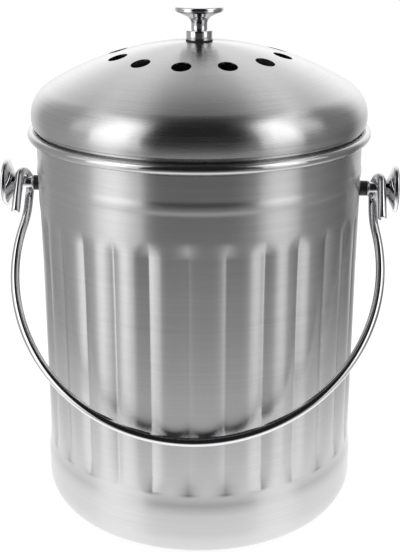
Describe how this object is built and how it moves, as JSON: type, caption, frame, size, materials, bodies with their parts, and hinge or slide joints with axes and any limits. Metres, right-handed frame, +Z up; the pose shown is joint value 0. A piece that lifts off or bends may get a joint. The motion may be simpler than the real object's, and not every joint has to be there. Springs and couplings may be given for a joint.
{
  "type": "compost pail",
  "caption": "Round reeded metal kitchen compost pail with a vented dome lid that lifts off by its knob, a filter under the lid and a swinging wire bail.",
  "frame": {"origin": "centre of the flat base, on the surface the pail stands on", "axes": "+Z up along the pail's axis; the bail's posts lie on X; -Y is the front, where the bail hangs at rest"},
  "size_m": [0.2164, 0.183, 0.2791],
  "materials": {
    "reeded_steel": "drawn stainless steel, brushed round the body",
    "lid_steel": "stainless steel, brushed in rings, bright",
    "bail_chrome": "polished stainless wire",
    "knob_chrome": "turned and polished",
    "gasket_rubber": "matt black",
    "screw_steel": "plain stainless",
    "spacer_plastic": "moulded black, satin",
    "retainer_plastic": "moulded black, satin",
    "filter_pad": "carbon-filled felt, matt"
  },
  "bodies": {
    "pail": {"pail_shell": "reeded_steel", "left_post_spacer": "spacer_plastic", "left_post_knob": "knob_chrome", "left_post_screw": "screw_steel", "left_post_washer": "screw_steel", "left_post_seal": "gasket_rubber", "right_post_spacer": "spacer_plastic", "right_post_knob": "knob_chrome", "right_post_screw": "screw_steel", "right_post_washer": "screw_steel", "right_post_seal": "gasket_rubber"},
    "bail": {"bail_wire": "bail_chrome"},
    "lid": {"lid_dome": "lid_steel", "lid_knob": "knob_chrome", "knob_gasket": "gasket_rubber", "knob_screw": "screw_steel", "knob_washer": "screw_steel", "knob_nut": "screw_steel"},
    "filter_cartridge": {"filter_retainer": "retainer_plastic", "charcoal_filter": "filter_pad", "filter_thumb_nut": "retainer_plastic"}
  },
  "joints": [
    {"name": "lid_lift", "type": "slide", "parent": "pail", "child": "lid", "axis": [0, 0, 1], "range_m": [0, 0.15]},
    {"name": "bail_swing", "type": "hinge", "parent": "pail", "child": "bail", "pos_m": [0, 0, 0.1822], "axis": [-1, 0, 0], "range_deg": [0, 280]},
    {"name": "filter_release", "type": "slide", "parent": "lid", "child": "filter_cartridge", "axis": [0, 0, -1], "range_m": [0, 0.018]}
  ]
}
